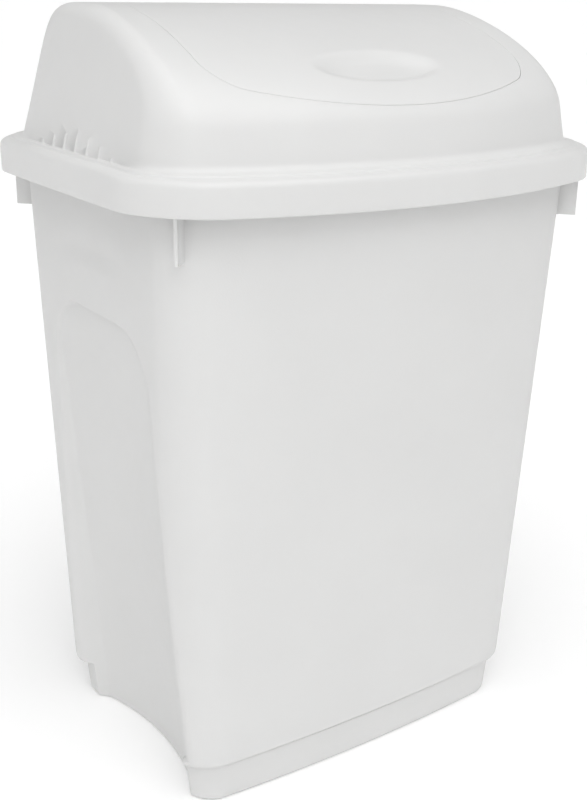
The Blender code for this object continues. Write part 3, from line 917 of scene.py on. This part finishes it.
def make_hood(material):
    """The hood: dome with its opening and lip, ledge, skirt, pivot ears and grip ribs."""
    skin = Skin()
    rows = hood_rows(skin)
    join_rows(skin, rows)
    opening = opening_loop(rows)
    foot = sum(rows[0], []) + sum(rows[-1], [])[-2:0:-1]
    shift = skin.inner(LID_WALL)
    edge = fillet_rings() + lip_rings()
    loops = [opening] + [skin.loop(surface_loop(*ring)) for ring in edge]
    skin.stack(loops + [[shift + i for i in opening]])
    foot_points = [skin.points[i] for i in foot]
    rims = [foot] + [skin.loop(points) for points in rim_rings(foot_points)] + [[shift + i for i in foot]]
    skin.stack(rims[::-1])
    hood = skin.object("hood_shell", material, 40)
    for side in (-1, 1):
        combine(hood, pivot_ear(side, material), "UNION")
        hole = disc("hole_tool", side * FLAP_HALF_X, PIN_HOLE_RADIUS, side * PIN_HOLE_REACH, material)
        combine(hood, hole, "DIFFERENCE")
        for i in range(GRIP_COUNT):
            combine(hood, grip_rib(side, i - (GRIP_COUNT - 1) / 2, material), "UNION")
    return hood


# The flap.

RIM_START_DROP = 0.0030
RIM_BACK_DROP = 0.0032
RIM_MIDDLE_LIFT = 0.0040


def dish_depth(x, y):
    """Depth of the push dish in the flap."""
    away = ((x - DISH_CENTRE_X) / DISH_HALF_X) ** 2 + ((y - DISH_CENTRE_Y) / DISH_HALF_Y) ** 2
    return DISH_DEPTH * smoothstep(DISH_STEEPNESS * (1 - away)) if away < 1 else 0.0


def edge_depth(x, y):
    """How far the flap's rim turns down; the cheeks are deepest beside the pins."""
    at_side = abs(x) > FLAP_HALF_X - CHEEK_BAND
    cheek = smoothstep((CHEEK_END - abs(y - PIVOT_Y)) / CHEEK_RAMP) if at_side else 0.0
    return mix(FLAP_EDGE_DEPTH, FLAP_CHEEK_DEPTH, cheek)


def leaned(x, y, z, drop):
    """A point of the flap's rim: its front leans in, to stay inside the arc that the top edge swings on."""
    reach = math.hypot(y - PIVOT_Y, z - PIVOT_Z)
    low = z - drop
    share = smoothstep((PIVOT_Y - LEAN_START - y) / LEAN_RAMP)
    room = reach * reach - (low - PIVOT_Z) ** 2
    if share > 0 and room > 0:
        y = mix(y, max(y, PIVOT_Y - math.sqrt(room)), share)
    return x, y, low


def rim_loop(distance, lift, fixed_drop=None):
    """One ring of the flap's rim, a little above its lower edge or at a fixed drop."""
    made = []
    for (x, y), (edge_x, edge_y) in zip(flap_loop(distance), flap_outline()):
        drop = edge_depth(edge_x, edge_y) - lift if fixed_drop is None else fixed_drop
        made.append(leaned(x, y, dome_height(x, y), drop))
    return made


def flap_rows(skin):
    """The panel's rows of points, from its rear edge to its front edge."""
    rear, beside, front = outline_sides(flap_loop(GRID_EDGE))
    rows = []
    for _, side_y in beside:
        share = (beside[0][1] - side_y) / (beside[0][1] - beside[-1][1])
        row = []
        for back, fore in zip(rear, front):
            x = mix(back[0], fore[0], share)
            y = mix(back[1], fore[1], share)
            row.append((x, y, dome_height(x, y) - dish_depth(x, y)))
        rows.append(skin.loop(row))
    return rows


def flap_rim():
    """The rings round the panel's rounded edge, down the outside of its rim and up the inside."""
    back = HALF_GAP + FLAP_WALL
    rings = []
    for distance, drop in fillet_rings():
        rings.append([(x, y, dome_height(x, y) - drop) for x, y in flap_loop(distance)])
    return rings + [
        rim_loop(HALF_GAP, 0, RIM_START_DROP),
        rim_loop(HALF_GAP, RIM_MIDDLE_LIFT),
        rim_loop(HALF_GAP, LOWER_CHAMFER),
        rim_loop(HALF_GAP + LOWER_CHAMFER, 0),
        rim_loop(back - LOWER_CHAMFER, 0),
        rim_loop(back, LOWER_CHAMFER),
        rim_loop(back, 0, RIM_BACK_DROP),
    ]


def make_flap(material):
    """The flap: a panel of the dome with a push dish, a turned-down rim and two pins."""
    skin = Skin()
    rows = flap_rows(skin)
    for lower, upper in zip(rows, rows[1:]):
        skin.strip(upper, lower, closed=False)
    edge = rows[0] + [row[-1] for row in rows[1:-1]] + rows[-1][::-1] + [row[0] for row in rows[-2:0:-1]]
    shift = skin.inner(FLAP_WALL)
    loops = [edge] + [skin.loop(points) for points in flap_rim()] + [[shift + i for i in edge]]
    skin.stack(loops[::-1])
    flap = skin.object("flap_panel", material, 40)
    for side in (-1, 1):
        start = side * (FLAP_HALF_X - HALF_GAP - PIN_ROOT)
        combine(flap, disc("pin_tool", start, PIN_RADIUS, side * (PIN_ROOT + PIN_REACH), material), "UNION")
    return flap


# Plastics.

WHITE = (0.70, 0.70, 0.695)
MOTTLE_DARK = 0.985
MOTTLE_LIGHT = 1.010
SPECK_COLOUR = (0.46, 0.45, 0.43)
GLOSS_LESS = 0.04
GLOSS_MORE = 0.05


def link(tree, source, output, target, socket):
    """Join two nodes."""
    tree.links.new(source.outputs[output], target.inputs[socket])


def add_node(tree, kind, **settings):
    """A node with its inputs set by name."""
    node = tree.nodes.new(kind)
    for name, value in settings.items():
        node.inputs[name.replace("_", " ")].default_value = value
    return node


def plastic(name, roughness, grain_scale, grain_height):
    """White moulded plastic: faint mottling, a fine moulded grain, uneven gloss and a few specks."""
    material = bpy.data.materials.new(name)
    material.use_nodes = True
    tree = material.node_tree
    shader = tree.nodes["Principled BSDF"]
    shader.inputs["IOR"].default_value = 1.49
    shader.inputs["Specular IOR Level"].default_value = 0.4
    shader.inputs["Subsurface Weight"].default_value = 0.12
    shader.inputs["Subsurface Radius"].default_value = (1.0, 0.95, 0.9)
    shader.inputs["Subsurface Scale"].default_value = 0.003
    place = tree.nodes.new("ShaderNodeTexCoord")

    mottle = add_node(tree, "ShaderNodeTexNoise", Scale=9.0, Detail=4.0, Roughness=0.55)
    link(tree, place, "Object", mottle, "Vector")
    tones = tree.nodes.new("ShaderNodeValToRGB")
    tones.color_ramp.elements[0].position = 0.30
    tones.color_ramp.elements[0].color = tuple(c * MOTTLE_DARK for c in WHITE) + (1.0,)
    tones.color_ramp.elements[1].position = 0.70
    tones.color_ramp.elements[1].color = tuple(c * MOTTLE_LIGHT for c in WHITE) + (1.0,)
    link(tree, mottle, "Fac", tones, "Fac")

    specks = add_node(tree, "ShaderNodeTexVoronoi", Scale=14.0, Randomness=1.0)
    link(tree, place, "Object", specks, "Vector")
    spots = add_node(tree, "ShaderNodeMapRange", From_Min=0.006, From_Max=0.012, To_Min=0.25, To_Max=0.0)
    link(tree, specks, "Distance", spots, "Value")
    dotted = tree.nodes.new("ShaderNodeMix")
    dotted.data_type = "RGBA"
    link(tree, spots, "Result", dotted, 0)
    link(tree, tones, "Color", dotted, 6)
    dotted.inputs[7].default_value = SPECK_COLOUR + (1.0,)
    tree.links.new(dotted.outputs[2], shader.inputs["Base Color"])

    gloss = add_node(tree, "ShaderNodeTexNoise", Scale=70.0, Detail=5.0, Roughness=0.6)
    link(tree, place, "Object", gloss, "Vector")
    sheen = add_node(tree, "ShaderNodeMapRange", From_Min=0.3, From_Max=0.7,
                     To_Min=roughness - GLOSS_LESS, To_Max=roughness + GLOSS_MORE)
    link(tree, gloss, "Fac", sheen, "Value")
    link(tree, sheen, "Result", shader, "Roughness")

    grain = add_node(tree, "ShaderNodeTexNoise", Scale=grain_scale, Detail=2.0, Roughness=0.5)
    link(tree, place, "Object", grain, "Vector")
    bump = add_node(tree, "ShaderNodeBump", Strength=1.0, Distance=grain_height)
    link(tree, grain, "Fac", bump, "Height")
    link(tree, bump, "Normal", shader, "Normal")
    return material


# Floor, light and camera.

FLOOR_RADIUS = 150.0
FLOOR_NEAR_RADIUS = 0.6
FLOOR_WHITE = 0.95
FLOOR_GLOW = 0.08

# The surround's strength, overhead and at the horizon, and the heights its ramp lies between.
WORLD_STRENGTH = 0.28
HORIZON_STRENGTH = 1.0
HORIZON_BAND = (0.05, 0.15)

# Wide soft lights: name, azimuth, elevation and spread in degrees, level.
SUNS = (
    ("key", -20, 45, 50, 0.09),
    ("high_front", -20, 72, 70, 0.55),
    ("overhead", 0, 89, 100, 0.10),
    ("side", -90, 35, 50, 0.04),
)

# One near light: azimuth, elevation, distance from its target, size, level.
NEAR_LIGHT = (-35, 30, 1.6, 0.8, 0.10)
NEAR_LIGHT_TARGET = Vector((0, 0, 0.40))

# Camera, in degrees and metres; the lens is in millimetres on a frame 36 mm high.
CAMERA_AZIMUTH = -34.66
CAMERA_ELEVATION = 19.6
CAMERA_ROLL = 0.97
CAMERA_DISTANCE = 1.0435
CAMERA_SHIFT = 0.0014
CAMERA_TARGET_Z = 0.2938
CAMERA_LENS = 52.28
CAMERA_FRAME = 36.0
CAMERA_CLIP = 500.0


def floor_material():
    """Plain pale floor."""
    material = bpy.data.materials.new("floor_white")
    material.use_nodes = True
    shader = material.node_tree.nodes["Principled BSDF"]
    shader.inputs["Base Color"].default_value = (FLOOR_WHITE, FLOOR_WHITE, FLOOR_WHITE, 1.0)
    shader.inputs["Emission Color"].default_value = (1.0, 1.0, 1.0, 1.0)
    shader.inputs["Emission Strength"].default_value = FLOOR_GLOW
    shader.inputs["Roughness"].default_value = 0.9
    shader.inputs["Specular IOR Level"].default_value = 0.1
    return material


def make_floor():
    """A wide pale disc under the bin."""
    skin = Skin()
    rings = []
    for radius in (FLOOR_RADIUS, FLOOR_RADIUS / 8, FLOOR_NEAR_RADIUS):
        ring = [(-radius * math.cos(a), radius * math.sin(a), 0.0) for a in steps(0, 2 * math.pi, 96)[:-1]]
        rings.append(skin.loop(ring))
    skin.stack(rings)
    skin.faces.append(rings[-1][::-1])
    return skin.object("floor", floor_material(), 30)


def direction(azimuth, elevation):
    """Unit vector towards a viewer at an azimuth and elevation in degrees; azimuth 0 is the front."""
    a, e = math.radians(azimuth), math.radians(elevation)
    return Vector((math.sin(a) * math.cos(e), -math.cos(a) * math.cos(e), math.sin(e)))


def soft_sun(name, azimuth, elevation, spread, level):
    """A far, wide soft light; the level is the light that a facing white surface sends back."""
    data = bpy.data.lights.new(name, "SUN")
    data.angle = math.radians(spread)
    data.energy = level * math.pi
    lamp = bpy.data.objects.new(name, data)
    bpy.context.scene.collection.objects.link(lamp)
    lamp.rotation_euler = direction(azimuth, elevation).to_track_quat("Z", "Y").to_euler()


def soft_box(name, azimuth, elevation, distance, size, level):
    """A near square soft light; the level is the light that a facing white surface at the bin sends back."""
    data = bpy.data.lights.new(name, "AREA")
    data.shape = "SQUARE"
    data.size = size
    data.energy = level * (math.pi * distance) ** 2
    lamp = bpy.data.objects.new(name, data)
    bpy.context.scene.collection.objects.link(lamp)
    away = direction(azimuth, elevation)
    lamp.location = NEAR_LIGHT_TARGET + away * distance
    lamp.rotation_euler = away.to_track_quat("Z", "Y").to_euler()


def make_world():
    """A white surround, brighter below and at the horizon than overhead."""
    world = bpy.data.worlds.new("surround")
    world.use_nodes = True
    tree = world.node_tree
    background = tree.nodes["Background"]
    background.inputs["Color"].default_value = (1.0, 1.0, 1.0, 1.0)
    place = tree.nodes.new("ShaderNodeTexCoord")
    height = tree.nodes.new("ShaderNodeSeparateXYZ")
    link(tree, place, "Generated", height, "Vector")
    level = add_node(tree, "ShaderNodeMapRange", From_Min=HORIZON_BAND[0], From_Max=HORIZON_BAND[1],
                     To_Min=HORIZON_STRENGTH, To_Max=WORLD_STRENGTH)
    link(tree, height, "Z", level, "Value")
    link(tree, level, "Result", background, "Strength")
    bpy.context.scene.world = world


def make_camera():
    """The camera: a product view of the front and the -X end from a little above."""
    azimuth, roll = math.radians(CAMERA_AZIMUTH), math.radians(CAMERA_ROLL)
    back = direction(CAMERA_AZIMUTH, CAMERA_ELEVATION)
    right = Vector((math.cos(azimuth), math.sin(azimuth), 0))
    up = back.cross(right)
    target = right * CAMERA_SHIFT + Vector((0, 0, CAMERA_TARGET_Z))
    turned_right = right * math.cos(roll) + up * math.sin(roll)
    turned_up = up * math.cos(roll) - right * math.sin(roll)
    place = Matrix((turned_right, turned_up, back)).transposed().to_4x4()
    place.translation = target + back * CAMERA_DISTANCE
    data = bpy.data.cameras.new("camera")
    data.sensor_fit = "VERTICAL"
    data.sensor_height = CAMERA_FRAME
    data.lens = CAMERA_LENS
    data.clip_end = CAMERA_CLIP
    camera = bpy.data.objects.new("camera", data)
    bpy.context.scene.collection.objects.link(camera)
    camera.matrix_world = place
    bpy.context.scene.camera = camera


def main():
    """Build the three pieces around their bodies, then the stage."""
    tub = make_tub(plastic("tub_plastic", roughness=0.46, grain_scale=900.0, grain_height=0.00006))
    hood = make_hood(plastic("hood_plastic", roughness=0.40, grain_scale=1200.0, grain_height=0.00002))
    flap = make_flap(plastic("flap_plastic", roughness=0.40, grain_scale=1200.0, grain_height=0.00002))
    pieces = (
        (tub, "bin", "bin_body", "bin_white"),
        (hood, "lid", "lid_hood", "hood_white"),
        (flap, "flap", "swing_flap", "flap_white"),
    )
    for piece, body, node, slot in pieces:
        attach(piece, body)
        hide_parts(node)
    make_floor()
    make_world()
    for sun in SUNS:
        soft_sun(*sun)
    soft_box("near", *NEAR_LIGHT)
    make_camera()
    bpy.context.scene.view_settings.view_transform = "Standard"
    bpy.context.scene.view_settings.look = "None"


main()
